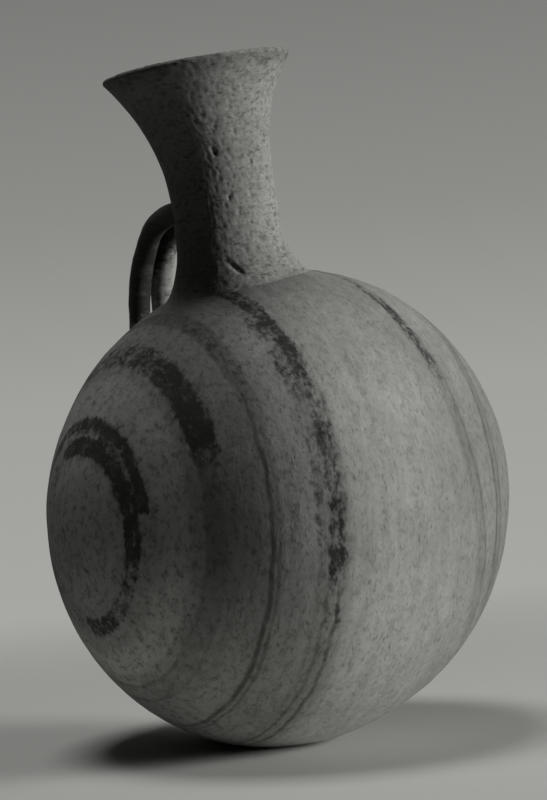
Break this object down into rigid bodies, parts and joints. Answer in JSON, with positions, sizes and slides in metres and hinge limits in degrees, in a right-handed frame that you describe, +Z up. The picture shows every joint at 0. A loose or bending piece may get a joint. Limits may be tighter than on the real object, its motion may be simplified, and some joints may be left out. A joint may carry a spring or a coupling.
{
  "type": "barrel jug",
  "caption": "Wheel-thrown clay jug: round barrel lying on its side, leaning neck with a flared mouth, small handle of twin clay rolls, dark painted rings around the barrel.",
  "frame": {"origin": "on the floor, under the middle of the barrel, at the centre of the flat that the jug rests on", "axes": "+Z up; X along the barrel axis, with the neck leaning towards -X; +Y towards the handle side"},
  "size_m": [0.1352, 0.14, 0.2029],
  "materials": {
    "painted_clay": "matt slipped clay with worn dark painted rings, flecked and finely striated around the barrel axis",
    "bare_clay": "matt, worn and pitted fired clay"
  },
  "bodies": {
    "root": {"barrel_body": "painted_clay", "closing_plug": "painted_clay", "neck": "bare_clay", "neck_lute": "bare_clay", "handle_roll_near": "bare_clay", "handle_roll_far": "bare_clay", "handle_neck_lute": "bare_clay", "handle_shoulder_lute": "bare_clay"}
  },
  "joints": []
}
